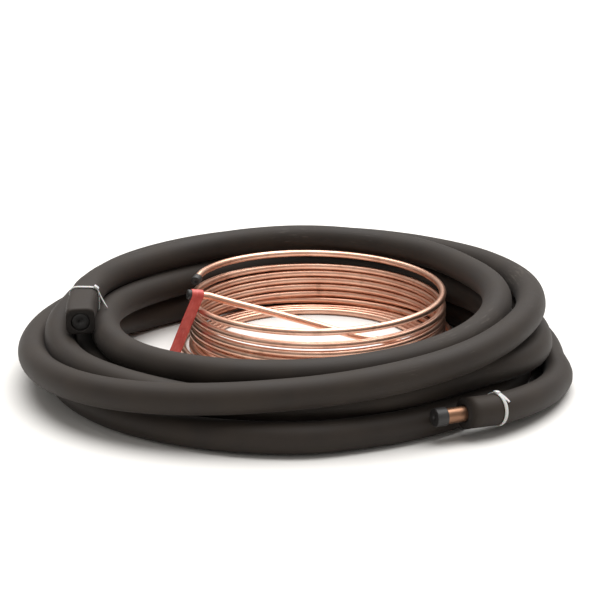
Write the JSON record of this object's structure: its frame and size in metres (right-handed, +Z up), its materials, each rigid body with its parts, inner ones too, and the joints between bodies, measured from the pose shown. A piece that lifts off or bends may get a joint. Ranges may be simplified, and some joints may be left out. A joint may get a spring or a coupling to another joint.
{
  "type": "mini split line set",
  "caption": "Coiled copper suction line in a black foam sleeve with a bare copper liquid line coil lying inside it, ends capped, for piping a split air conditioner.",
  "frame": {"origin": "middle of the set's footprint, on the floor it lies on", "axes": "+Z up, the coils lie flat in XY; -Y is the side with the foam sleeve's lower open end and faces the viewer in the picture"},
  "size_m": [0.7148, 0.748, 0.1198],
  "materials": {
    "foam": "matt skin of elastomeric foam",
    "copper": "bright drawn copper",
    "cap_black": "satin moulded black",
    "nylon": "semi-clear natural nylon",
    "tag_red": "flat red plastic strip"
  },
  "bodies": {
    "root": {"foam_sleeve": "foam", "suction_tube": "copper", "suction_cap_left": "cap_black", "suction_cap_right": "cap_black", "tie_left": "nylon", "tie_right": "nylon", "liquid_tube": "copper", "liquid_cap_top": "cap_black", "liquid_cap_tail": "cap_black", "red_tag": "tag_red"}
  },
  "joints": []
}
